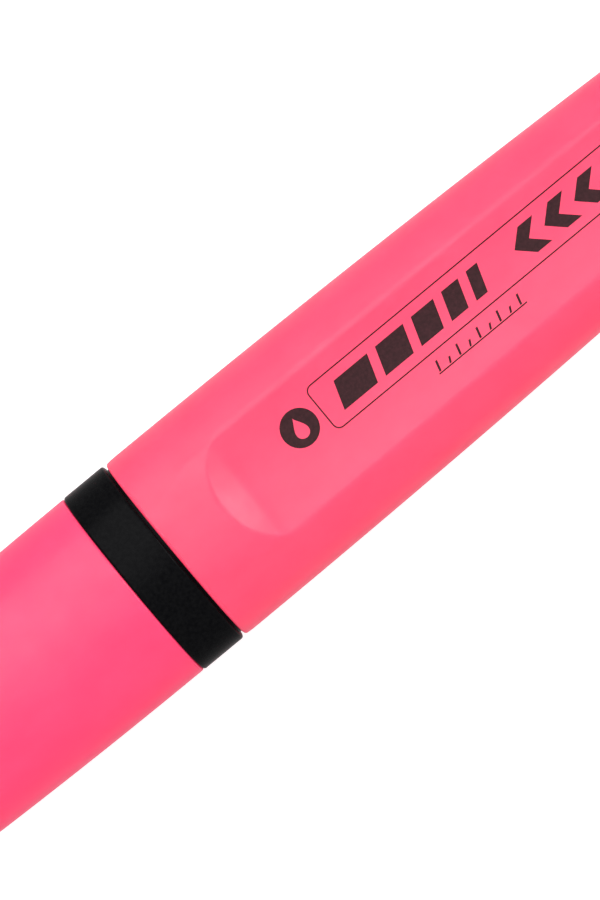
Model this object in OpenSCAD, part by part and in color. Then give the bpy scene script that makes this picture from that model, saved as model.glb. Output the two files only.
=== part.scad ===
// Flat highlighter with a pull-off cap.
//
// The pen lies along X, with the nib and the cap towards +X, its width along Y and its printed
// face up. The design is drawn about the front face of the collar (x = 0, on the pen's axis),
// and in_place() then sets it down on the ground with the middle of its length at x = 0.

/* [Body] */
// Width across the collar, the widest place
collar_width = 25; // [22:0.5:32]
// Thickness of the collar, the thickest place
collar_thickness = 16; // [14:0.5:20]
// Length of the black collar between cap and barrel
collar_length = 6.1; // [4:0.1:9]
// Length of the barrel from the collar to the tail plug
barrel_length = 74; // [55:1:95]
// Width that the pen tapers to at the tail
tail_width = 21.5; // [19:0.5:25]
// Thickness that the pen tapers to at the tail
tail_thickness = 14; // [13:0.2:16]
// Wall of the barrel
barrel_wall = 1.2; // [0.9:0.1:1.6]

/* [Grip panel] */
// Depth of the sunk panel on each face of the barrel
panel_depth = 1.5; // [0.6:0.05:1.8]
// Distance from the barrel's front edge to the panel
panel_start = 7.3; // [5:0.1:14]
// Distance from the panel to the barrel's rear edge
panel_margin = 3; // [2:0.5:12]
// Length of the slope at each end of the panel
panel_ramp = 3.6; // [2.5:0.1:6]
// Radius of the shallow trough across the panel
panel_trough = 40; // [30:1:200]

/* [Cap] */
// Length of the cap
cap_length = 33; // [31:0.5:45]
// Width of the cap at its closed end
cap_end_width = 23.6; // [20:0.2:25]
// Thickness of the cap at its closed end
cap_end_thickness = 14.4; // [12:0.2:16]
// Thickness of the cap's closed end
cap_end_wall = 1.6; // [1:0.1:3]
// Width of the collar's ledge that the cap's rim rests on
ledge = 1.5; // [1.2:0.1:2.2]

/* [Nose] */
// Height of the nose's tip above the collar
nose_length = 18; // [14:0.5:21]
// Height at which the flared foot of the nose becomes straight
flare_height = 9.2; // [6:0.2:11]
// Wall of the nose round the nib
nose_wall = 1.1; // [0.8:0.1:1.6]
// Depth that the nose's tail reaches into the collar
nose_tail = 6; // [4:0.5:8]

/* [Nib] */
// Width of the nib
nib_width = 5.4; // [4:0.1:7]
// Thickness of the nib
nib_thickness = 4; // [3:0.1:4.8]
// How far the nib stands out of the nose
nib_reach = 6.4; // [5:0.2:8]
// Slant of the chisel edge
nib_slant = 22; // [0:1:35]
// Half angle between the two chisel faces
nib_bevel = 33; // [25:1:45]
// How deep the nib's tail goes into the ink reservoir
nib_depth = 5; // [3:0.5:10]

/* [Tail plug] */
// Length of the plug that shows behind the barrel
plug_head = 3; // [2.5:0.5:6]
// Length of the plug inside the barrel
plug_depth = 5; // [3:0.5:8]

/* [Hidden] */

// Points round every oval, and the power of the oval: 2 is an ellipse, 4 a rounded box
ring_points = 72;
front_power = 2.2;
tail_power = 2.4;
nib_power = 4;

// Clearances
press_fit = 0.05;      // between two pieces that are pressed together
cap_clearance = 0.12;  // between the cap's rim and the foot of the nose
seal_clearance = 0.06; // between the inner cap and the nose
reservoir_gap = 0.3;   // round the wrapped reservoir and at its two ends
nib_room = 1.2;        // the nose's hollow is at least this many times as wide as the nib's channel

// Small details of the edges
skin_step = 0.05;      // the collar stands this far out of barrel and cap
seam_round = 0.3;      // rounding of every edge at a seam
end_round = 2.2;       // rounding of the cap's end and of the tail
neck_length = 0.5;     // shadow gap between collar and barrel
neck_inset = 0.7;
foot_height = 0.65;    // upright edge at the foot of the nose
foot_step = 0.4;       // the flare starts this far in from that edge
foot_groove = 0.2;     // groove under that edge, as high as it is deep
nose_draft = 0.025;    // the nose widens by this much a side for each millimetre down
flare_power = 1.95;
chisel_flat = 0.2;     // half width of the worn flat along the chisel edge

// Inner walls
spigot_wall = 0.9;
spigot_depth = 8;      // of the collar into the barrel
film = 0.15;
seal_wall = 1;
seal_base = 1.2;
seal_mouth = 11.5;     // height of the inner cap's mouth above the collar

// Lengths worked out from those above
body_length = barrel_length + plug_head;
pen_back = -collar_length - body_length;
barrel_front = -collar_length;
barrel_back = barrel_front - barrel_length;

// Half sizes of the outer skin where barrel and cap meet the collar
skin_w = collar_width / 2 - skin_step;
skin_t = collar_thickness / 2 - skin_step;

// Half sizes and power of the body's oval, at a distance behind the collar
function body_w(s) = skin_w - (skin_w - tail_width / 2) * pow(s / body_length, 2);
function body_t(s) = skin_t - (skin_t - tail_thickness / 2) * pow(s / body_length, 2);
function body_power(s) =
    front_power + (tail_power - front_power) * min(1, s / (panel_start + panel_ramp));

// Half sizes of the barrel's bore, which stays clear of the sunk panels
function bore_w(s) = body_w(s) - barrel_wall;
function bore_t(s) = body_t(s) - barrel_wall - panel_depth;

// Half sizes of the cap's skin and of its hollow, at a height above the collar
function cap_w(x) = skin_w - (skin_w - cap_end_width / 2) * pow(x / cap_length, 2);
function cap_t(x) = skin_t - (skin_t - cap_end_thickness / 2) * pow(x / cap_length, 2);
cap_wall = ledge - skin_step - cap_clearance;
cap_floor = cap_length - cap_end_wall;

// Half sizes of the collar's spigot and its bore, and of the nose's tail
spigot_w = bore_w(spigot_depth) - press_fit;
spigot_t = bore_t(spigot_depth) - press_fit;
collar_bore_w = spigot_w - spigot_wall;
collar_bore_t = spigot_t - spigot_wall;
tail_w = collar_bore_w - press_fit;
tail_t = collar_bore_t - press_fit;

// Half sizes of the tail plug inside the barrel
plug_w = bore_w(barrel_length) - press_fit;
plug_t = bore_t(barrel_length) - press_fit;

// Half sizes of the nib's channel, the nose's tip and the nose's foot
channel_w = nib_width / 2 + press_fit;
channel_t = nib_thickness / 2 + press_fit;
tip_w = channel_w + nose_wall;
tip_t = channel_t + nose_wall;
foot_w = collar_width / 2 - ledge;
foot_t = collar_thickness / 2 - ledge;

// Half size of the nose at a height above the collar, between its tip and its foot
function nose_half(x, tip, foot) =
    let (top = tip + nose_draft * (nose_length - x),
         down = max(0, (flare_height - x) / (flare_height - foot_height)))
    top + (foot - foot_step - top) * pow(down, flare_power);
function nose_w(x) = nose_half(x, tip_w, foot_w);
function nose_t(x) = nose_half(x, tip_t, foot_t);

// Reservoir: from behind the nose's tail to the bottom of the tail plug's hollow
plug_floor = barrel_back - plug_head / 2;
reservoir_front = -nose_tail - reservoir_gap;
reservoir_back = plug_floor + reservoir_gap;
wrap_w = min(collar_bore_w, plug_w - spigot_wall) - reservoir_gap;
wrap_t = min(collar_bore_t, plug_t - spigot_wall) - reservoir_gap;
nib_back = reservoir_front - nib_depth;
nib_tip = nose_length + nib_reach;

// ---- Building blocks ----

function signed_power(v, p) = sign(v) * pow(abs(v), p);

// Points round an oval of half width w and half height h
function oval_2d(w, h, power) =
    [for (i = [0 : ring_points - 1])
        let (turn = 360 * i / ring_points)
        [w * signed_power(cos(turn), 2 / power), h * signed_power(sin(turn), 2 / power)]];

// The same oval as a ring across the pen at x
function oval(x, w, h, power = front_power) = [for (p = oval_2d(w, h, power)) [x, p.x, p.y]];

// Rings of a rounded edge, from the full size to the edge at x_end. The pen's inside is
// towards -X of x_end for a side of 1, and towards +X for a side of -1.
function rounded_edge(x_end, w, h, radius, side, power = front_power, steps = 4) =
    [for (i = [0 : steps])
        let (turn = 90 * i / steps, inset = radius * (1 - cos(turn)))
        oval(x_end - side * radius * (1 - sin(turn)), w - inset, h - inset, power)];

function reversed(list) = [for (i = [len(list) - 1 : -1 : 0]) list[i]];

// Skin through a list of rings. A loop joins the last ring to the first, as round a tube's
// wall; otherwise flat faces close both ends. Rings run towards -X on the outside.
module skin(rings, loop = false) {
    count = len(rings[0]);
    last = len(rings) - 1;
    walls = [for (r = [0 : loop ? last : last - 1], i = [0 : count - 1])
        let (a = r * count, b = ((r + 1) % len(rings)) * count, j = (i + 1) % count)
        each [[a + i, a + j, b + j], [a + i, b + j, b + i]]];
    ends = loop ? [] : [
        reversed([for (i = [0 : count - 1]) i]),
        [for (i = [0 : count - 1]) last * count + i]];
    polyhedron(points = [for (ring = rings) each ring], faces = concat(walls, ends));
}

// Oval rod along X from x_low to x_high
module oval_rod(x_low, x_high, w, h, power) {
    translate([x_low, 0, 0]) rotate([90, 0, 90])
        linear_extrude(x_high - x_low) polygon(oval_2d(w, h, power));
}

module in_place() {
    translate([-(cap_length + pen_back) / 2, 0, collar_thickness / 2]) children();
}

// ---- Sub-parts ----

// Height of the panel's floor above the pen's axis
function panel_floor(s, y) =
    let (front = panel_start + panel_ramp,
         back = barrel_length - panel_margin - panel_ramp,
         outside = max(front - s, s - back, 0))
    body_t(s) - panel_depth + y * y / (2 * panel_trough) + panel_depth * outside / panel_ramp;

// Ring of the barrel's skin, cut by the panels above and below
function panelled(s) =
    [for (p = oval(barrel_front - s, body_w(s), body_t(s), body_power(s)))
        let (limit = panel_floor(s, p.y)) [p.x, p.y, max(min(p.z, limit), -limit)]];

module barrel() {
    ramp_steps = 6;
    floor_steps = 10;
    bore_steps = 8;
    panel_end = barrel_length - panel_margin;
    floor_length = panel_end - panel_start - 2 * panel_ramp;
    stations = concat(
        [panel_start / 2],
        [for (i = [0 : ramp_steps]) panel_start + panel_ramp * i / ramp_steps],
        [for (i = [1 : floor_steps - 1])
            panel_start + panel_ramp + floor_length * i / floor_steps],
        [for (i = [0 : ramp_steps]) panel_end - panel_ramp * (1 - i / ramp_steps)]);
    front = rounded_edge(barrel_front, body_w(0), body_t(0), seam_round, 1);
    back = rounded_edge(barrel_back, body_w(barrel_length), body_t(barrel_length), seam_round, -1,
                        tail_power);
    bore = [for (i = [bore_steps : -1 : 0])
        let (s = barrel_length * i / bore_steps)
        oval(barrel_front - s, bore_w(s), bore_t(s))];
    color([0.98, 0.2, 0.36]) in_place()
        skin(concat(reversed(front), [for (s = stations) panelled(s)], back, bore), loop = true);
}

module tail_plug() {
    spigot_front = barrel_back + plug_depth;
    rim = rounded_edge(barrel_back, body_w(barrel_length), body_t(barrel_length), seam_round, 1,
                       tail_power);
    end = rounded_edge(pen_back, tail_width / 2, tail_thickness / 2, end_round, -1, tail_power, 6);
    color([0.98, 0.2, 0.36]) in_place() skin(concat(
        [oval(plug_floor, plug_w - spigot_wall, plug_t - spigot_wall),
         oval(spigot_front, plug_w - spigot_wall, plug_t - spigot_wall),
         oval(spigot_front, plug_w - seam_round, plug_t - seam_round),
         oval(spigot_front - seam_round, plug_w, plug_t),
         oval(barrel_back, plug_w, plug_t)],
        reversed(rim),
        end));
}

module collar() {
    w = collar_width / 2;
    t = collar_thickness / 2;
    band_back = barrel_front + neck_length;
    spigot_back = barrel_front - spigot_depth;
    color([0.08, 0.08, 0.09]) in_place() skin(concat(
        reversed(rounded_edge(0, w, t, seam_round, 1)),
        rounded_edge(band_back, w, t, seam_round * 2, -1),
        [oval(band_back, w - neck_inset, t - neck_inset),
         oval(barrel_front, w - neck_inset, t - neck_inset),
         oval(barrel_front, spigot_w, spigot_t),
         oval(spigot_back + seam_round, spigot_w, spigot_t),
         oval(spigot_back, spigot_w - seam_round, spigot_t - seam_round),
         oval(spigot_back, collar_bore_w, collar_bore_t),
         oval(0, collar_bore_w, collar_bore_t)]), loop = true);
}

module nib_holder() {
    flare_steps = 12;
    hollow_steps = 6;
    hollow_wall = nose_wall * 1.2;
    hollow_w = tail_w - spigot_wall;
    hollow_t = tail_t - spigot_wall;
    // The hollow is as wide as the tail's bore, then follows the flare to the nib's channel
    hollow = [for (i = [0 : hollow_steps])
        let (x = flare_height * (0.1 + 0.8 * i / hollow_steps))
        oval(x, max(channel_w * nib_room, min(hollow_w, nose_w(x) - hollow_wall)),
            max(channel_t * nib_room, min(hollow_t, nose_t(x) - hollow_wall)))];
    flare = [for (i = [0 : flare_steps])
        let (x = flare_height + (foot_height - flare_height) * i / flare_steps)
        oval(x, nose_w(x), nose_t(x))];
    color([0.03, 0.03, 0.035]) in_place() skin(concat(
        reversed(rounded_edge(nose_length, tip_w, tip_t, seam_round, 1)),
        flare,
        [oval(foot_height, foot_w, foot_t),
         oval(foot_groove, foot_w, foot_t),
         oval(foot_groove, foot_w - foot_groove, foot_t - foot_groove),
         oval(0, foot_w - foot_groove, foot_t - foot_groove),
         oval(0, tail_w, tail_t),
         oval(seam_round - nose_tail, tail_w, tail_t),
         oval(-nose_tail, tail_w - seam_round, tail_t - seam_round),
         oval(-nose_tail, hollow_w, hollow_t)],
        hollow,
        [oval(flare_height, channel_w, channel_t, nib_power),
         oval(nose_length, channel_w, channel_t, nib_power)]), loop = true);
}

// Nib without its colour and place. The chisel edge is slanted across the nib, and its high
// corner is the nib's tip. The tail is a blunt wedge.
module nib_body() {
    big = nib_width * 4;
    intersection() {
        oval_rod(nib_back, nib_tip, nib_width / 2, nib_thickness / 2, nib_power);
        translate([nib_tip, -nib_width / 2, 0]) rotate([0, 0, nib_slant])
            rotate([90, 0, 0]) linear_extrude(big * 2, center = true)
                wedge_2d(chisel_flat, nib_bevel, (nib_tip - nib_back) * 2, big);
        translate([nib_back, 0, 0]) mirror([1, 0, 0])
            rotate([90, 0, 0]) linear_extrude(big, center = true)
                wedge_2d(nib_thickness / 6, nib_bevel, (nib_tip - nib_back) * 2, big);
    }
}

// Outline of a wedge that points along +X, with its flat edge at x = 0
module wedge_2d(flat, half_angle, length, size) {
    back = size / tan(half_angle);
    polygon([[0, -flat], [0, flat], [-back, size + flat], [-back - length, size + flat],
             [-back - length, -size - flat], [-back, -size - flat]]);
}

module nib() {
    color([0.93, 0.15, 0.3]) in_place() nib_body();
}

module reservoir_fibre() {
    color([0.96, 0.35, 0.5]) in_place() difference() {
        oval_rod(reservoir_back, reservoir_front, wrap_w - film, wrap_t - film, front_power);
        nib_body();
    }
}

module reservoir_film() {
    wrap = [for (x = [reservoir_front, reservoir_back]) oval(x, wrap_w, wrap_t)];
    fibre = [for (x = [reservoir_back, reservoir_front]) oval(x, wrap_w - film, wrap_t - film)];
    color([0.9, 0.9, 0.92]) in_place() skin(concat(wrap, fibre), loop = true);
}

module cap_shell() {
    wall_steps = 8;
    end = rounded_edge(cap_length, cap_end_width / 2, cap_end_thickness / 2, end_round, 1,
                       front_power, 6);
    wall = [for (i = [wall_steps - 1 : -1 : 1])
        let (x = (cap_length - end_round) * i / wall_steps) oval(x, cap_w(x), cap_t(x))];
    rim = rounded_edge(0, cap_w(0), cap_t(0), seam_round, -1);
    hollow = [for (i = [0 : wall_steps])
        let (x = cap_floor * i / wall_steps) oval(x, cap_w(x) - cap_wall, cap_t(x) - cap_wall)];
    color([0.98, 0.2, 0.38]) in_place() skin(concat(reversed(end), wall, rim, hollow));
}

module inner_cap() {
    inner_w = nose_w(seal_mouth) + seal_clearance;
    inner_t = nose_t(seal_mouth) + seal_clearance;
    base_w = cap_w(cap_floor) - cap_wall - press_fit;
    base_t = cap_t(cap_floor) - cap_wall - press_fit;
    base_front = cap_floor - seal_base;
    color([0.95, 0.95, 0.93]) in_place() skin([
        oval(cap_floor, base_w, base_t),
        oval(base_front, base_w, base_t),
        oval(base_front, inner_w + seal_wall, inner_t + seal_wall),
        oval(seal_mouth, inner_w + seal_wall, inner_t + seal_wall),
        oval(seal_mouth, inner_w, inner_t),
        oval(base_front, inner_w, inner_t)]);
}

barrel();
tail_plug();
collar();
nib_holder();
nib();
reservoir_fibre();
reservoir_film();
cap_shell();
inner_cap();
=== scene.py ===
"""Flat highlighter: detailed pieces, print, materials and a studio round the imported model."""
import math

import bmesh
import bpy
from mathutils import Matrix, Vector


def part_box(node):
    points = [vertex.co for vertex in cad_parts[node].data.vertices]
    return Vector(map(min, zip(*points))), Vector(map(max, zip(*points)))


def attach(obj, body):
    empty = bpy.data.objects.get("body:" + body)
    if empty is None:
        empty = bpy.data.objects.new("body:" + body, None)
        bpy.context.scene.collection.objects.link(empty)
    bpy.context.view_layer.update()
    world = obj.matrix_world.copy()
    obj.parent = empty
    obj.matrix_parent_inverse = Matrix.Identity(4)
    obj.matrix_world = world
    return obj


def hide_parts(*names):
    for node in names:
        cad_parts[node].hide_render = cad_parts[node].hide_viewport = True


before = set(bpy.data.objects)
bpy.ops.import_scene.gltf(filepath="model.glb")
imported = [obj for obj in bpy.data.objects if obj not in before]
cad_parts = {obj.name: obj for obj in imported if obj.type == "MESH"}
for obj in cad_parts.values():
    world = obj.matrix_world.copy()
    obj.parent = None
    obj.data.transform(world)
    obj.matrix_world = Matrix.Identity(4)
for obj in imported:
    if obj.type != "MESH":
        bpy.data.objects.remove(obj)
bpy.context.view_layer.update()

MM = 0.001

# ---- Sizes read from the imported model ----

barrel_low, barrel_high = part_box("barrel")
collar_low, collar_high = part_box("collar")
plug_low, plug_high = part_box("tail_plug")
nose_low, nose_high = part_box("nib_holder")
nib_low, nib_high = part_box("nib")
cap_low, cap_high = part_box("cap_shell")

AXIS_Z = (collar_low.z + collar_high.z) / 2
COLLAR_FRONT = cap_low.x
BARREL_FRONT = barrel_high.x
BARREL_LENGTH = barrel_high.x - barrel_low.x
PEN_BACK = plug_low.x
SKIN_W = barrel_high.y
SKIN_T = barrel_high.z - AXIS_Z
RIM_W = plug_high.y
RIM_T = plug_high.z - AXIS_Z

# ---- Shape details, most of them shared with the model ----

FRONT_POWER = 2.2           # power of the oval at the collar
TAIL_POWER = 2.4            # and from the panel to the tail
SEAM_ROUND = 0.3 * MM       # every edge at a seam
END_ROUND = 2.2 * MM        # the cap's end and the tail
NECK_LENGTH = 0.35 * MM     # shadow gap between collar and barrel
NECK_INSET = 0.7 * MM
PANEL_START = 7.3 * MM      # from the barrel's front edge to the sunk panel
PANEL_RAMP = 3.6 * MM       # length of the slope into it
PANEL_SCOOP = 0.55 * MM     # the visible slope runs on this much further, into a soft fold,
SCOOP_POWER = 1.15          # and is a little steeper at its outer edge
PANEL_MARGIN = 3 * MM       # from the panel to the barrel's back edge
PANEL_DEPTH = 1.5 * MM
PANEL_TROUGH = 40 * MM      # radius of the panel's floor across the pen
FOLD_SOFT = 1.2 * MM        # how softly the slope meets the floor
ENDS_SOFT = 2 * MM          # blend between the front slope and the back slope
EDGE_SOFT = 0.12 * MM       # how softly the panel's edge turns at its ends
SIDE_SOFT = 0.30 * MM       # and along its sides
SIDE_START = 1.6            # the softer edge is reached this many slopes into the panel
SIDE_BAND = 2 * MM          # the barrel's sides are plain up to this height from the axis
WALL = 1.2 * MM
CAP_WALL = 1.33 * MM
CAP_END_WALL = 1.6 * MM
CAP_END_W = 11.8 * MM
CAP_END_T = 7.2 * MM
AROUND = 288                # points round the large ovals
NOSE_AROUND = 192           # round the nose
NIB_AROUND = 96             # and round the nib
SEAM_STEPS = 6              # rings round a seam's edge
END_STEPS = 14              # and round the cap's end and the tail
NOSE_WALL = 1.1 * MM
NOSE_DRAFT = 0.025          # the nose widens by this much a side for each unit down
PRESS_FIT = 0.05 * MM       # gap between two pieces that are pressed together
SPIGOT_WALL = 0.9 * MM
PLUG_DEPTH = 5 * MM
FLARE_HEIGHT = 9.2 * MM
FLARE_POWER = 1.95
FOOT_HEIGHT = 0.65 * MM     # upright edge at the foot of the nose
FOOT_STEP = 0.4 * MM        # the flare starts this far in from that edge
FOOT_GROOVE = 0.2 * MM      # groove under that edge
FOOT_ROUND = 0.06 * MM
LIP_LENGTH = 1.4 * MM       # the barrel's front edge bows in a little over this length
LIP_FALL = 0.1 * MM
RIDGE_START = 4.3 * MM      # the soft ridge beside the face, at the collar and at the panel
RIDGE_END = 6.6 * MM
RIDGE_REACH = 10.5 * MM     # the ridge has faded out here
RIDGE_FALL = 0.13 * MM
MIDDLE_FALL = 0.9           # share of that fall along the middle of the face
TIP_ROUND = 0.35 * MM
TIP_STEPS = 7
MOUTH_DEPTH = 0.25 * MM     # chamfer where the nib leaves the nose
MOUTH_WIDEN = 0.15 * MM
NIB_POWER = 4
NIB_SLANT = math.radians(22)
NIB_BEVEL = math.radians(33)
NIB_SOFT = 0.14 * MM        # rounding of the nib's cut edges
CHISEL_FLAT = 0.2 * MM      # half width of the flat along the chisel edge
SOAKED_FROM = -0.4 * MM     # between these, from the nose, the nib goes from dark to bright
SOAKED_TO = 3.4 * MM

# ---- Print, in millimetres behind the barrel's front edge and above the pen's middle ----

PRINT_LOW = -1.4
PRINT_HIGH = 4.6
DISC_AT = 19.5
DISC_RADIUS = 2.25
DROP_BELOW = 0.1
DROP_RADIUS = 1.05
DISC_POINTS = 72
BOX_LEFT = 22.5
BOX_RIGHT = 66.8
BOX_CORNER = 0.9
LINE = 0.16
BARS_LEFT = 24.6
BAR_WIDTHS = (4.8, 4.0, 3.2, 2.4, 1.6)
BAR_HEIGHT = 3.3
BAR_LEAN = 1.1
BAR_GAP = 1.15
ARROWS_LEFT = 50.4
ARROWS = 3
ARROW_PITCH = 4.3
ARROW_WIDTH = 2.1
ARROW_HEIGHT = 3.6
ARROW_REACH = 1.9
TICKS_LEFT = 35.4
TICKS_LOW = -3.5
TICKS = 9
TICK_PITCH = 1.45
TICK_WIDTH = 0.28
TICK_TALL = 1.25
TICK_SHORT = 0.7
TICK_LEAN = 0.35
RULE_LEFT = 35.2
RULE_LOW = -3.75
RULE_WIDTH = 12.6
RULE_LEAN = 0.05
INK_CUTS = ((0, 17, 67, 0.8), (1, -4, 5, 0.4))  # cuts that let the ink follow the face
INK_RISE = 0.012 * MM
INK_SINK = 0.03 * MM


# ---- Mesh building ----

def signed_power(value, power):
    return math.copysign(abs(value) ** power, value)


def oval(x, w, h, power=FRONT_POWER, count=AROUND):
    """Ring of points across the pen at x, w by h in half sizes."""
    ring = []
    for i in range(count):
        turn = 2 * math.pi * i / count
        y = w * signed_power(math.cos(turn), 2 / power)
        z = h * signed_power(math.sin(turn), 2 / power)
        ring.append((x, y, AXIS_Z + z))
    return ring


def quarter_turn(radius, count):
    """Distances from the end and from the side along a rounded edge, starting at the side."""
    turns = [math.pi / 2 * i / count for i in range(count + 1)]
    return [(radius * (1 - math.sin(turn)), radius * (1 - math.cos(turn))) for turn in turns]


def rounded_edge(x_end, w, h, radius, side, power=FRONT_POWER, count=SEAM_STEPS):
    """Rings that turn from the full size into an edge at x_end, the pen's end on that side."""
    return [oval(x_end - side * before, w - inset, h - inset, power)
            for before, inset in quarter_turn(radius, count)]


def smooth(piece, angle=32):
    """Smooth shading with sharp edges where faces meet at more than the angle."""
    mesh = piece.data
    bm = bmesh.new()
    bm.from_mesh(mesh)
    bmesh.ops.recalc_face_normals(bm, faces=bm.faces)
    limit = math.radians(angle)
    for edge in bm.edges:
        edge.smooth = len(edge.link_faces) == 2 and edge.calc_face_angle(0) < limit
    for face in bm.faces:
        face.smooth = True
    bm.to_mesh(mesh)
    bm.free()


def new_piece(name, vertices, faces, material, angle=32):
    mesh = bpy.data.meshes.new(name)
    mesh.from_pydata(vertices, [], faces)
    mesh.materials.append(material)
    piece = bpy.data.objects.new(name, mesh)
    bpy.context.scene.collection.objects.link(piece)
    smooth(piece, angle)
    return piece


def skin(name, rings, material, loop=False, angle=32):
    """Closed skin through rings of equal count; a loop joins the last ring to the first."""
    count = len(rings[0])
    vertices = [point for ring in rings for point in ring]
    faces = []
    last = len(rings) if loop else len(rings) - 1
    for r in range(last):
        a, b = r * count, ((r + 1) % len(rings)) * count
        for i in range(count):
            j = (i + 1) % count
            faces.append((a + i, a + j, b + j, b + i))
    if not loop:
        faces.append(tuple(reversed(range(count))))
        faces.append(tuple(range((len(rings) - 1) * count, len(rings) * count)))
    return new_piece(name, vertices, faces, material, angle)


def steps(start, end, length):
    """Stations from start to end, no further apart than length."""
    count = max(1, math.ceil(abs(end - start) / length))
    return [start + (end - start) * i / count for i in range(count + 1)]


# ---- The body's surface ----

def body_half(s, front, rim):
    """Half size of the barrel at s behind its front edge, from its sizes at both ends."""
    return front - (front - rim) * (s / BARREL_LENGTH) ** 2


def body_w(s):
    return body_half(s, SKIN_W, RIM_W)


def body_t(s):
    return body_half(s, SKIN_T, RIM_T)


def bore(s):
    """Half sizes of the barrel's bore, which stays clear of the sunk panels."""
    return body_w(s) - WALL, body_t(s) - WALL - PANEL_DEPTH


def body_power(s):
    share = min(1, s / (PANEL_START + PANEL_RAMP))
    return FRONT_POWER + (TAIL_POWER - FRONT_POWER) * share


def soft_min(a, b, radius):
    """The smaller of two heights, with the corner between them rounded."""
    share = max(radius - abs(a - b), 0) / radius
    return min(a, b) - share * share * radius / 4


def soft_max(a, b, radius):
    return -soft_min(-a, -b, radius)


def crease(s, y):
    """How far the face falls short of the plain oval, with a soft ridge left along each side."""
    ridge = RIDGE_START + (RIDGE_END - RIDGE_START) * min(1, s / PANEL_START)
    share = (abs(y) - ridge) / (RIDGE_REACH - ridge)
    side = 4 * share * (1 - share) if 0 < share < 1 else 0
    near = min(1, abs(y) / ridge)
    middle = (near * near - 1) ** 2
    return RIDGE_FALL * (side + MIDDLE_FALL * middle)


def panel_floor(s, y):
    """Height of the sunk panel above the pen's axis."""
    slope = PANEL_RAMP + PANEL_SCOOP
    front = PANEL_START + slope - s
    back = s - (BARREL_LENGTH - PANEL_MARGIN - slope)
    outside = soft_max(soft_max(front, back, ENDS_SOFT), 0, FOLD_SOFT)
    rise = PANEL_DEPTH - RIDGE_FALL * MIDDLE_FALL
    return (body_t(s) - PANEL_DEPTH + y * y / (2 * PANEL_TROUGH)
            + rise * (outside / slope) ** SCOOP_POWER)


def edge_soft(s):
    """Rounding of the panel's edge, which is sharper at its ends than along its sides."""
    inside = min(s - PANEL_START, BARREL_LENGTH - PANEL_MARGIN - s)
    inward = inside / (PANEL_RAMP * SIDE_START)
    share = max(0, min(1, inward))
    return EDGE_SOFT + (SIDE_SOFT - EDGE_SOFT) * share * share


def face_height(s, y):
    """Height of the barrel's face above the pen's axis."""
    power = body_power(s)
    across = min(1, abs(y) / body_w(s))
    skin_height = body_t(s) * (1 - across ** power) ** (1 / power)
    return soft_min(skin_height - crease(s, y), panel_floor(s, y), edge_soft(s))


def lip(s):
    """How far the barrel's front edge bows in."""
    return LIP_FALL * max(0, 1 - s / LIP_LENGTH) ** 2


def panelled(s):
    """Ring of the barrel's skin, cut by the panels above and below."""
    ring = []
    w, t = body_w(s) - lip(s), body_t(s) - lip(s)
    for x, y, z in oval(BARREL_FRONT - s, w, t, body_power(s)):
        up = z - AXIS_Z
        plain = abs(up) - crease(s, y) if abs(up) > SIDE_BAND else abs(up)
        height = soft_min(plain, panel_floor(s, y), edge_soft(s))
        ring.append((x, y, AXIS_Z + math.copysign(height, up)))
    return ring


# ---- Materials ----

def material(name, color, roughness, **values):
    made = bpy.data.materials.new(name)
    made.use_nodes = True
    shader = made.node_tree.nodes["Principled BSDF"]
    shader.inputs["Base Color"].default_value = (*color, 1)
    shader.inputs["Roughness"].default_value = roughness
    for socket, value in values.items():
        shader.inputs[socket.replace("_", " ")].default_value = value
    return made


def link(made, source, target):
    made.node_tree.links.new(source, target)


def noise(made, scale, detail=3.0, stretch=(1, 1, 1)):
    """Noise texture in object space, with its size in waves per metre."""
    nodes = made.node_tree.nodes
    place = nodes.new("ShaderNodeTexCoord")
    mapping = nodes.new("ShaderNodeMapping")
    mapping.inputs["Scale"].default_value = stretch
    texture = nodes.new("ShaderNodeTexNoise")
    texture.inputs["Scale"].default_value = scale
    texture.inputs["Detail"].default_value = detail
    link(made, place.outputs["Object"], mapping.inputs["Vector"])
    link(made, mapping.outputs["Vector"], texture.inputs["Vector"])
    return texture.outputs["Fac"]


def ramp(made, source, low, high, start=0.3, end=0.7):
    """Turns a 0 to 1 value into a colour or number between low and high."""
    node = made.node_tree.nodes.new("ShaderNodeValToRGB")
    first, second = node.color_ramp.elements
    first.position, second.position = start, end
    first.color = (*low, 1) if isinstance(low, tuple) else (low, low, low, 1)
    second.color = (*high, 1) if isinstance(high, tuple) else (high, high, high, 1)
    link(made, source, node.inputs["Fac"])
    return node.outputs["Color"]


def bump(made, sources):
    """Chains bumps of (height source, depth in metres) into the shader's normal."""
    nodes = made.node_tree.nodes
    normal = None
    for source, depth in sources:
        node = nodes.new("ShaderNodeBump")
        node.inputs["Strength"].default_value = 1
        node.inputs["Distance"].default_value = depth
        link(made, source, node.inputs["Height"])
        if normal:
            link(made, normal, node.inputs["Normal"])
        normal = node.outputs["Normal"]
    link(made, normal, nodes["Principled BSDF"].inputs["Normal"])


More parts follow.
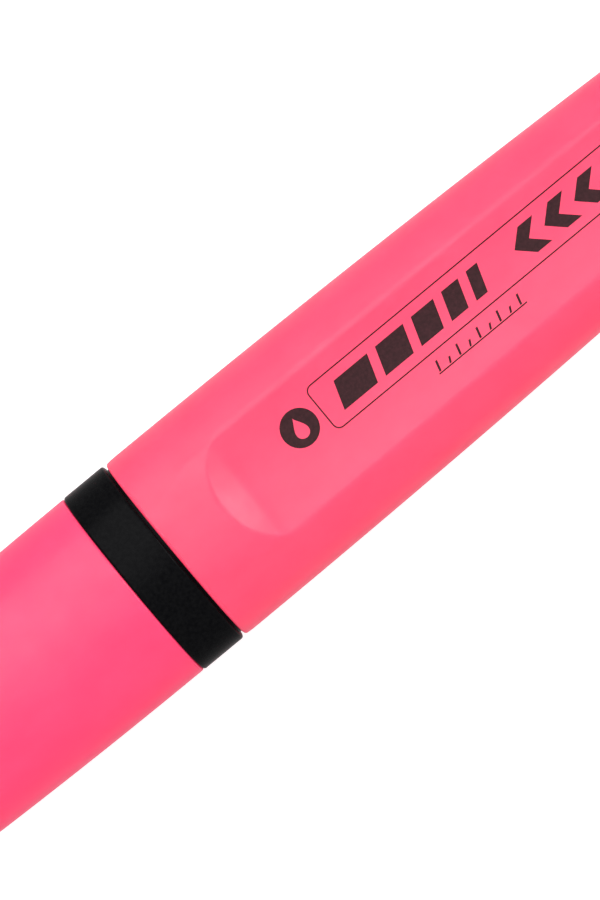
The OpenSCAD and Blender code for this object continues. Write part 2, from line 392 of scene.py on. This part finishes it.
def pink_plastic(name, light, dark, glow):
    """Translucent fluorescent polypropylene: mottled colour, satin skin, faint flow lines, and a
    painted glow: a faint pink emission, the same under any light, stands in for the dye's
    fluorescence.
    """
    made = material(name, light, 0.36, IOR=1.49)
    shader = made.node_tree.nodes["Principled BSDF"]
    shader.inputs["Specular IOR Level"].default_value = 0.38
    shader.inputs["Subsurface Weight"].default_value = 0.35
    shader.inputs["Subsurface Radius"].default_value = (1.0, 0.35, 0.45)
    shader.inputs["Subsurface Scale"].default_value = 0.9 * MM
    # Painted glow: the plastic emits a faint pink light of its own, whatever light falls on it.
    shader.inputs["Emission Color"].default_value = (*glow, 1)
    shader.inputs["Emission Strength"].default_value = 0.18
    clouds = noise(made, 170, detail=5, stretch=(1, 1.8, 1))
    color = ramp(made, clouds, dark, light, start=0.32, end=0.68)
    link(made, color, shader.inputs["Base Color"])
    patches = noise(made, 420, detail=4)
    link(made, ramp(made, patches, 0.31, 0.43), shader.inputs["Roughness"])
    skin_grain = noise(made, 5200, detail=2)
    flow = noise(made, 900, detail=3, stretch=(0.25, 1, 1))
    waves = noise(made, 130, detail=2, stretch=(0.5, 1, 1))
    bump(made, [(skin_grain, 0.0016 * MM), (flow, 0.006 * MM), (waves, 0.025 * MM)])
    return made


def black_satin(name):
    """Spark-eroded black plastic with a fine grain."""
    made = material(name, (0.003, 0.003, 0.0035), 0.34)
    shader = made.node_tree.nodes["Principled BSDF"]
    shader.inputs["Specular IOR Level"].default_value = 0.035
    grain = noise(made, 7000, detail=2)
    link(made, ramp(made, grain, 0.20, 0.32), shader.inputs["Roughness"])
    specks = noise(made, 2600, detail=1)
    link(made, ramp(made, specks, (0.0015, 0.0015, 0.002), (0.004, 0.004, 0.0045)),
         shader.inputs["Base Color"])
    bump(made, [(grain, 0.006 * MM), (noise(made, 500, detail=2), 0.004 * MM)])
    return made


def black_gloss(name):
    """Polished black plastic with faint moulding waves and wiped scratches."""
    made = material(name, (0.004, 0.004, 0.005), 0.1)
    shader = made.node_tree.nodes["Principled BSDF"]
    shader.inputs["Specular IOR Level"].default_value = 0.2
    wipes = noise(made, 1500, detail=3, stretch=(0.15, 1, 1))
    link(made, ramp(made, wipes, 0.07, 0.16, start=0.4, end=0.75), shader.inputs["Roughness"])
    link(made, ramp(made, noise(made, 300, detail=2), (0.003, 0.003, 0.004), (0.006, 0.005, 0.006)),
         shader.inputs["Base Color"])
    bump(made, [(noise(made, 350, detail=1), 0.005 * MM)])
    return made


def along_pen(made, start, end):
    """0 to 1 from one place along the pen to another, in metres."""
    nodes = made.node_tree.nodes
    place = nodes.new("ShaderNodeTexCoord")
    parts = nodes.new("ShaderNodeSeparateXYZ")
    span = nodes.new("ShaderNodeMapRange")
    span.inputs["From Min"].default_value = start
    span.inputs["From Max"].default_value = end
    link(made, place.outputs["Object"], parts.inputs[0])
    link(made, parts.outputs["X"], span.inputs["Value"])
    return span.outputs["Result"]


def mixed(made, share, first, second):
    """Colour that goes from the first to the second as the share goes from 0 to 1."""
    node = made.node_tree.nodes.new("ShaderNodeMix")
    node.data_type = "RGBA"
    link(made, share, node.inputs["Factor"])
    link(made, first, node.inputs["A"])
    link(made, second, node.inputs["B"])
    return node.outputs["Result"]


def wet_fibre(name, light, dark, roughness, soaked=None):
    """Bonded fibre along the pen, soaked with ink, darker where it leaves the nose."""
    made = material(name, light, roughness)
    shader = made.node_tree.nodes["Principled BSDF"]
    shader.inputs["Specular IOR Level"].default_value = 0.25
    strands = noise(made, 4200, detail=3, stretch=(0.06, 1, 1))
    color = ramp(made, strands, dark, light)
    if soaked:
        wet = noise(made, 1400, detail=4)
        outward = along_pen(made, nose_high.x + SOAKED_FROM, nose_high.x + SOAKED_TO)
        base = ramp(made, wet, soaked, dark, start=0.35, end=0.8)
        color = mixed(made, outward, base, color)
    link(made, color, shader.inputs["Base Color"])
    link(made, ramp(made, noise(made, 900, detail=3), roughness - 0.1, roughness + 0.12),
         shader.inputs["Roughness"])
    bump(made, [(strands, 0.03 * MM), (noise(made, 9000, detail=2), 0.015 * MM)])
    return made


def plain_plastic(name, color, roughness):
    made = material(name, color, roughness)
    shader = made.node_tree.nodes["Principled BSDF"]
    darker = tuple(c * 0.92 for c in color)
    link(made, ramp(made, noise(made, 200, detail=3), darker, color), shader.inputs["Base Color"])
    link(made, ramp(made, noise(made, 800, detail=3), roughness - 0.05, roughness + 0.08),
         shader.inputs["Roughness"])
    bump(made, [(noise(made, 3000, detail=2), 0.003 * MM)])
    return made


# The glow colours below are painted glow, an emission the lamps don't give.
BODY_PINK = pink_plastic("body_pink", light=(0.93, 0.069, 0.152), dark=(0.90, 0.060, 0.140),
                         glow=(1, 0.03, 0.07))
CAP_PINK = pink_plastic("cap_pink", light=(0.93, 0.055, 0.162), dark=(0.90, 0.047, 0.149),
                        glow=(1, 0.025, 0.08))
COLLAR_BLACK = black_satin("collar_black")
NOSE_BLACK = black_gloss("nose_black")
NIB_FIBRE = wet_fibre("nib_fibre", light=(0.97, 0.10, 0.17), dark=(0.90, 0.045, 0.09),
                      roughness=0.5, soaked=(0.62, 0.008, 0.03))
INK_FIBRE = wet_fibre("ink_fibre", light=(0.85, 0.10, 0.20), dark=(0.62, 0.03, 0.09),
                      roughness=0.6)
FILM = plain_plastic("film", (0.80, 0.80, 0.83), roughness=0.3)
SEAL_WHITE = plain_plastic("seal_white", (0.82, 0.82, 0.79), roughness=0.4)


def print_ink():
    """Black pad print: thin, slightly uneven, with the pink showing faintly through."""
    made = material("print_ink", (0.03, 0.014, 0.016), 0.5)
    shader = made.node_tree.nodes["Principled BSDF"]
    shader.inputs["Specular IOR Level"].default_value = 0.12
    cover = noise(made, 2500, detail=3)
    color = ramp(made, cover, (0.030, 0.010, 0.012), (0.052, 0.016, 0.020), start=0.35, end=0.8)
    link(made, color, shader.inputs["Base Color"])
    bump(made, [(cover, 0.002 * MM)])
    return made


PRINT_INK = print_ink()


# ---- Pieces of the pen ----

def place(piece, body, node, slot):
    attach(piece, body)
    if node:
        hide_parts(node)
    return piece


def make_barrel():
    # The rings stand close together at the lip and over the two slopes
    close, wide = 0.2 * MM, 1.6 * MM
    slope_end = PANEL_START + PANEL_RAMP + 1.8 * MM
    slope_back = BARREL_LENGTH - PANEL_MARGIN - PANEL_RAMP - 1.8 * MM
    stations = (steps(0.4 * MM, LIP_LENGTH, close)
                + steps(2 * MM, PANEL_START - 0.6 * MM, wide / 2)
                + steps(PANEL_START - 0.4 * MM, slope_end, close)
                + steps(slope_end + 0.6 * MM, slope_back - 0.6 * MM, wide)
                + steps(slope_back, BARREL_LENGTH - 1.2 * MM, close))
    back_x = BARREL_FRONT - BARREL_LENGTH
    back_w, back_t = body_w(BARREL_LENGTH), body_t(BARREL_LENGTH)
    front = []
    for s, inset in quarter_turn(SEAM_ROUND, SEAM_STEPS):
        inset += lip(s)
        front.append(oval(BARREL_FRONT - s, SKIN_W - inset, SKIN_T - inset))
    back = rounded_edge(back_x, back_w, back_t, SEAM_ROUND, -1, TAIL_POWER)
    inside = [oval(BARREL_FRONT - s, *bore(s)) for s in steps(BARREL_LENGTH, 0, 4 * MM)]
    rings = front[::-1] + [panelled(s) for s in stations] + back + inside
    return place(skin("barrel_skin", rings, BODY_PINK, loop=True), "pen", "barrel", "body_pink")


def make_tail_plug():
    rim_x = barrel_low.x
    rim = rounded_edge(rim_x, RIM_W, RIM_T, SEAM_ROUND, 1, TAIL_POWER)
    tail_w = body_w(BARREL_LENGTH + rim_x - PEN_BACK)
    tail_t = body_t(BARREL_LENGTH + rim_x - PEN_BACK)
    end = rounded_edge(PEN_BACK, tail_w, tail_t, END_ROUND, -1, TAIL_POWER, END_STEPS)
    w, t = (size - PRESS_FIT for size in bore(BARREL_LENGTH))
    mouth = rim_x + PLUG_DEPTH
    hollow_w, hollow_t = w - SPIGOT_WALL, t - SPIGOT_WALL
    spigot = [oval((rim_x + PEN_BACK) / 2, hollow_w, hollow_t),
              oval(mouth, hollow_w, hollow_t),
              oval(mouth, w - SEAM_ROUND, t - SEAM_ROUND),
              oval(mouth - SEAM_ROUND, w, t),
              oval(rim_x, w, t)]
    rings = spigot + rim[::-1] + end
    return place(skin("tail_plug_skin", rings, BODY_PINK), "pen", "tail_plug", "body_pink")


def collar_spigot():
    """Half sizes of the collar's tube inside the barrel, as wide as the bore at its far end."""
    w, t = bore(BARREL_FRONT - collar_low.x)
    return w - PRESS_FIT, t - PRESS_FIT


def make_collar():
    w, t = collar_high.y, collar_high.z - AXIS_Z
    band_back = BARREL_FRONT + NECK_LENGTH
    spigot_w, spigot_t = collar_spigot()
    bore_w, bore_t = spigot_w - SPIGOT_WALL, spigot_t - SPIGOT_WALL
    band = (rounded_edge(COLLAR_FRONT, w, t, SEAM_ROUND, 1)[::-1]
            + rounded_edge(band_back, w, t, SEAM_ROUND, -1))
    rings = band + [
        oval(band_back, w - NECK_INSET, t - NECK_INSET),
        oval(BARREL_FRONT, w - NECK_INSET, t - NECK_INSET),
        oval(BARREL_FRONT, spigot_w, spigot_t),
        oval(collar_low.x + SEAM_ROUND, spigot_w, spigot_t),
        oval(collar_low.x, spigot_w - SEAM_ROUND, spigot_t - SEAM_ROUND),
        oval(collar_low.x, bore_w, bore_t),
        oval(COLLAR_FRONT, bore_w, bore_t)]
    ring = skin("collar_ring", rings, COLLAR_BLACK, loop=True)
    return place(ring, "pen", "collar", "collar_black")


def make_cap():
    length = cap_high.x - cap_low.x
    hollow = length - CAP_END_WALL

    def half_w(x):
        return SKIN_W - (SKIN_W - CAP_END_W) * (x / length) ** 2

    def half_t(x):
        return SKIN_T - (SKIN_T - CAP_END_T) * (x / length) ** 2

    end = rounded_edge(cap_high.x, CAP_END_W, CAP_END_T, END_ROUND, 1, count=END_STEPS)
    wall = [oval(cap_low.x + x, half_w(x), half_t(x))
            for x in steps(length - END_ROUND - 1 * MM, 1 * MM, 1.5 * MM)]
    rim = rounded_edge(cap_low.x, SKIN_W, SKIN_T, SEAM_ROUND, -1)
    inside = [oval(cap_low.x + x, half_w(x) - CAP_WALL, half_t(x) - CAP_WALL)
              for x in steps(0, hollow, 2 * MM)]
    rings = end[::-1] + wall + rim + inside
    return place(skin("cap_skin", rings, CAP_PINK), "cap", "cap_shell", "cap_pink")


def make_nose():
    nib_w = (nib_high.y - nib_low.y) / 2
    nib_t = (nib_high.z - nib_low.z) / 2
    foot_w, foot_t = nose_high.y, nose_high.z - AXIS_Z
    height = nose_high.x - COLLAR_FRONT
    channel_w, channel_t = nib_w + PRESS_FIT, nib_t + PRESS_FIT

    def half(x, tip, foot):
        top = tip + NOSE_DRAFT * (height - x)
        down = max(0, (FLARE_HEIGHT - x) / (FLARE_HEIGHT - FOOT_HEIGHT))
        return top + (foot - FOOT_STEP - top) * down ** FLARE_POWER

    def across(x):
        return oval(COLLAR_FRONT + x, half(x, channel_w + NOSE_WALL, foot_w),
                    half(x, channel_t + NOSE_WALL, foot_t), count=NOSE_AROUND)

    tip = [oval(nose_high.x - before, channel_w + NOSE_WALL - inset,
                channel_t + NOSE_WALL - inset, count=NOSE_AROUND)
           for before, inset in quarter_turn(TIP_ROUND, TIP_STEPS)]
    flare = [across(x) for x in steps(height - 1 * MM, FOOT_HEIGHT, 0.3 * MM)]
    foot = [(FOOT_HEIGHT, FOOT_ROUND), (FOOT_HEIGHT - FOOT_ROUND, 0), (FOOT_GROOVE, 0),
            (FOOT_GROOVE, FOOT_GROOVE), (0, FOOT_GROOVE)]
    rings = tip[::-1] + flare + [
        oval(COLLAR_FRONT + x, foot_w - inset, foot_t - inset, count=NOSE_AROUND)
        for x, inset in foot]
    tail_w, tail_t = (size - SPIGOT_WALL - PRESS_FIT for size in collar_spigot())
    rings += [oval(COLLAR_FRONT, tail_w, tail_t, count=NOSE_AROUND),
              oval(nose_low.x, tail_w, tail_t, count=NOSE_AROUND),
              oval(nose_low.x, channel_w, channel_t, NIB_POWER, NOSE_AROUND),
              oval(nose_high.x - MOUTH_DEPTH, channel_w, channel_t, NIB_POWER, NOSE_AROUND),
              oval(nose_high.x, channel_w + MOUTH_WIDEN, channel_t + MOUTH_WIDEN,
                   NIB_POWER, NOSE_AROUND)]
    return place(skin("nose", rings, NOSE_BLACK, loop=True), "pen", "nib_holder", "nose_black")


def cut(bm, point, normal):
    """Cuts away everything in front of a plane and closes the cut."""
    geometry = bm.verts[:] + bm.edges[:] + bm.faces[:]
    result = bmesh.ops.bisect_plane(bm, geom=geometry, plane_co=point, plane_no=normal,
                                    clear_outer=True)
    edges = [item for item in result["geom_cut"] if isinstance(item, bmesh.types.BMEdge)]
    bmesh.ops.contextual_create(bm, geom=edges)


def make_nib():
    w = (nib_high.y - nib_low.y) / 2
    t = (nib_high.z - nib_low.z) / 2
    rings = [oval(x, w, t, NIB_POWER, NIB_AROUND) for x in steps(nib_high.x, nib_low.x, 1 * MM)]
    piece = skin("nib_tip", rings, NIB_FIBRE)
    forward = Vector((math.cos(NIB_SLANT), math.sin(NIB_SLANT), 0))
    up = Vector((0, 0, 1))
    corner = Vector((nib_high.x, nib_low.y, AXIS_Z))
    bm = bmesh.new()
    bm.from_mesh(piece.data)
    cut(bm, corner, forward)
    for side in (1, -1):
        face = forward * math.sin(NIB_BEVEL) + up * side * math.cos(NIB_BEVEL)
        cut(bm, corner + up * side * CHISEL_FLAT, face)
    bm.to_mesh(piece.data)
    bm.free()
    soften = piece.modifiers.new("soften", "BEVEL")
    soften.width = NIB_SOFT
    soften.segments = 3
    soften.angle_limit = math.radians(28)
    smooth(piece, 40)
    return place(piece, "pen", "nib", "nib_fibre")


# ---- Print on the barrel's face ----

def rounded_box(left, right, low, high, radius, corner_steps=6):
    corners = [(right - radius, high - radius, 0), (left + radius, high - radius, 90),
               (left + radius, low + radius, 180), (right - radius, low + radius, 270)]
    outline = []
    for x, y, start in corners:
        for i in range(corner_steps + 1):
            turn = math.radians(start + 90 * i / corner_steps)
            outline.append((x + radius * math.cos(turn), y + radius * math.sin(turn)))
    return outline


def slanted(left, low, width, height, lean):
    """Parallelogram that leans towards the tail."""
    high = low + height
    return [(left, low), (left + width, low), (left + width + lean, high), (left + lean, high)]


def chevron(point, middle, width, height, reach):
    """Arrowhead that points to the cap."""
    low, high = middle - height / 2, middle + height / 2
    return [(point, middle), (point + reach, low), (point + reach + width, low),
            (point + width, middle), (point + reach + width, high), (point + reach, high)]


def drop(x, y, radius, count):
    """Ink drop with its point up."""
    outline = []
    for i in range(count):
        turn = 2 * math.pi * i / count
        narrow = (1 + math.cos(turn)) / 2
        outline.append((x - radius * math.sin(turn) * (1 - narrow ** 1.5 * 0.95),
                        y + radius * (math.cos(turn) * 1.25 + 0.1)))
    return outline


def circle(x, y, radius, count):
    turns = [2 * math.pi * i / count for i in range(count)]
    return [(x - radius * math.sin(turn), y + radius * math.cos(turn)) for turn in turns]


def make_print():
    """Generic mark: ink drop in a disc, box with bars and arrowheads, row of ticks."""
    middle = (PRINT_LOW + PRINT_HIGH) / 2
    outer = rounded_box(BOX_LEFT, BOX_RIGHT, PRINT_LOW, PRINT_HIGH, BOX_CORNER)
    inner = rounded_box(BOX_LEFT + LINE, BOX_RIGHT - LINE, PRINT_LOW + LINE, PRINT_HIGH - LINE,
                        BOX_CORNER - LINE)
    bands = [(circle(DISC_AT, middle, DISC_RADIUS, DISC_POINTS),
              drop(DISC_AT, middle - DROP_BELOW, DROP_RADIUS, DISC_POINTS)),
             (outer, inner)]
    fills = []
    left = BARS_LEFT
    for width in BAR_WIDTHS:
        fills.append(slanted(left, middle - BAR_HEIGHT / 2, width, BAR_HEIGHT, BAR_LEAN))
        left += width + BAR_GAP
    for i in range(ARROWS):
        fills.append(chevron(ARROWS_LEFT + ARROW_PITCH * i, middle, ARROW_WIDTH, ARROW_HEIGHT,
                             ARROW_REACH))
    for i in range(TICKS):
        height = TICK_SHORT if i % 2 else TICK_TALL
        fills.append(slanted(TICKS_LEFT + TICK_PITCH * i, TICKS_LOW, TICK_WIDTH, height, TICK_LEAN))
    fills.append(slanted(RULE_LEFT, RULE_LOW, RULE_WIDTH, LINE, RULE_LEAN))

    bm = bmesh.new()
    for outline in fills:
        bm.faces.new([bm.verts.new((x, y, 0)) for x, y in outline])
    for outer, inner in bands:
        out = [bm.verts.new((x, y, 0)) for x, y in outer]
        into = [bm.verts.new((x, y, 0)) for x, y in inner]
        for i in range(len(out)):
            j = (i + 1) % len(out)
            bm.faces.new((out[i], out[j], into[j], into[i]))
    for axis, start, end, gap in INK_CUTS:
        for i in range(1, round((end - start) / gap)):
            point, normal = Vector((0, 0, 0)), Vector((0, 0, 0))
            point[axis], normal[axis] = start + gap * i, 1
            bmesh.ops.bisect_plane(bm, geom=bm.verts[:] + bm.edges[:] + bm.faces[:],
                                   plane_co=point, plane_no=normal)
    bmesh.ops.recalc_face_normals(bm, faces=bm.faces)
    raised = bmesh.ops.extrude_face_region(bm, geom=bm.faces[:])
    top = {item for item in raised["geom"] if isinstance(item, bmesh.types.BMVert)}
    for vertex in bm.verts:
        s, v = vertex.co.x * MM, vertex.co.y * MM
        lift = INK_RISE if vertex in top else -INK_SINK
        vertex.co = (BARREL_FRONT - s, -v, AXIS_Z + face_height(s, v) + lift)
    mesh = bpy.data.meshes.new("print_ink")
    bm.to_mesh(mesh)
    bm.free()
    mesh.materials.append(PRINT_INK)
    piece = bpy.data.objects.new("print_ink", mesh)
    bpy.context.scene.collection.objects.link(piece)
    smooth(piece, 30)
    return place(piece, "pen", None, "collar_black")


def dress_inner_parts():
    """The pieces inside the pen keep their CAD shape and take a better material."""
    for node, made in (("inner_cap", SEAL_WHITE), ("reservoir_fibre", INK_FIBRE),
                       ("reservoir_film", FILM)):
        for material_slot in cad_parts[node].material_slots:
            material_slot.material = made


# ---- Studio ----

def area_light(name, direction, distance, size, power):
    """Softbox of the given width and height that looks at the pen from a direction."""
    light = bpy.data.lights.new(name, "AREA")
    light.shape = "RECTANGLE"
    light.size, light.size_y = size
    light.energy = power
    lamp = bpy.data.objects.new(name, light)
    toward = Vector(direction).normalized()
    lamp.location = toward * distance + Vector((0, 0, AXIS_Z))
    lamp.rotation_euler = toward.to_track_quat("Z", "Y").to_euler()
    bpy.context.scene.collection.objects.link(lamp)


PEN_ANGLE = math.radians(39.6) # the pen's slope in the picture
IMAGE_RIGHT = Vector((-math.cos(PEN_ANGLE), math.sin(PEN_ANGLE), 0))
IMAGE_UP = Vector((-math.sin(PEN_ANGLE), -math.cos(PEN_ANGLE), 0))
VIEW_HEIGHT = 101.6 * MM    # what the picture's height spans on the pen
VIEW_MIDDLE = Vector((0.98 * MM, 0.29 * MM, AXIS_Z))
LENS = 120
SENSOR = 36
FLOOR_HALF = 6
PAPER_GREY = 0.60           # what the floor gives back to the pen
PAPER_GLOW = 0.72           # extra brightness of the floor to the camera only
SKY = 0.70                  # brightness of the surroundings, for light and reflections
SKY_SEEN = 1.15             # and to the camera


def make_camera():
    data = bpy.data.cameras.new("camera")
    data.lens = LENS
    data.sensor_width = SENSOR
    data.clip_start = 0.01
    data.clip_end = 20
    camera = bpy.data.objects.new("camera", data)
    distance = VIEW_HEIGHT * LENS / SENSOR
    back = Vector((0, 0, 1))
    turn = Matrix((IMAGE_RIGHT, IMAGE_UP, back)).transposed()
    camera.matrix_world = Matrix.Translation(VIEW_MIDDLE + back * distance) @ turn.to_4x4()
    bpy.context.scene.collection.objects.link(camera)
    bpy.context.scene.camera = camera


def seen_by_camera(tree, others, camera):
    """One value for what the camera sees and another for light and reflections."""
    path = tree.nodes.new("ShaderNodeLightPath")
    choice = tree.nodes.new("ShaderNodeMapRange")
    choice.inputs["To Min"].default_value = others
    choice.inputs["To Max"].default_value = camera
    tree.links.new(path.outputs["Is Camera Ray"], choice.inputs["Value"])
    return choice.outputs["Result"]


def make_floor():
    mesh = bpy.data.meshes.new("floor")
    half = FLOOR_HALF
    corners = [(-half, -half, 0), (half, -half, 0), (half, half, 0), (-half, half, 0)]
    mesh.from_pydata(corners, [], [(0, 1, 2, 3)])
    paper = material("floor_paper", (PAPER_GREY, PAPER_GREY, PAPER_GREY), 0.8)
    shader = paper.node_tree.nodes["Principled BSDF"]
    shader.inputs["Emission Color"].default_value = (1, 1, 1, 1)
    glow = seen_by_camera(paper.node_tree, others=0, camera=PAPER_GLOW)
    link(paper, glow, shader.inputs["Emission Strength"])
    mesh.materials.append(paper)
    floor = bpy.data.objects.new("floor", mesh)
    bpy.context.scene.collection.objects.link(floor)


def make_studio():
    make_floor()
    world = bpy.data.worlds.new("studio")
    world.use_nodes = True
    backdrop = world.node_tree.nodes["Background"]
    backdrop.inputs["Color"].default_value = (1, 1, 1, 1)
    strength = seen_by_camera(world.node_tree, others=SKY, camera=SKY_SEEN)
    world.node_tree.links.new(strength, backdrop.inputs["Strength"])
    bpy.context.scene.world = world
    area_light("key", direction=(0.14, -0.44, 0.9), distance=0.7, size=(0.56, 0.64), power=2.9)
    area_light("tail_side", direction=(-1, -0.09, 1.07), distance=0.6, size=(0.16, 0.16),
               power=1.15)
    bpy.context.scene.view_settings.view_transform = "Standard"


make_barrel()
make_tail_plug()
make_collar()
make_nose()
make_nib()
make_cap()
make_print()
dress_inner_parts()
make_studio()
make_camera()
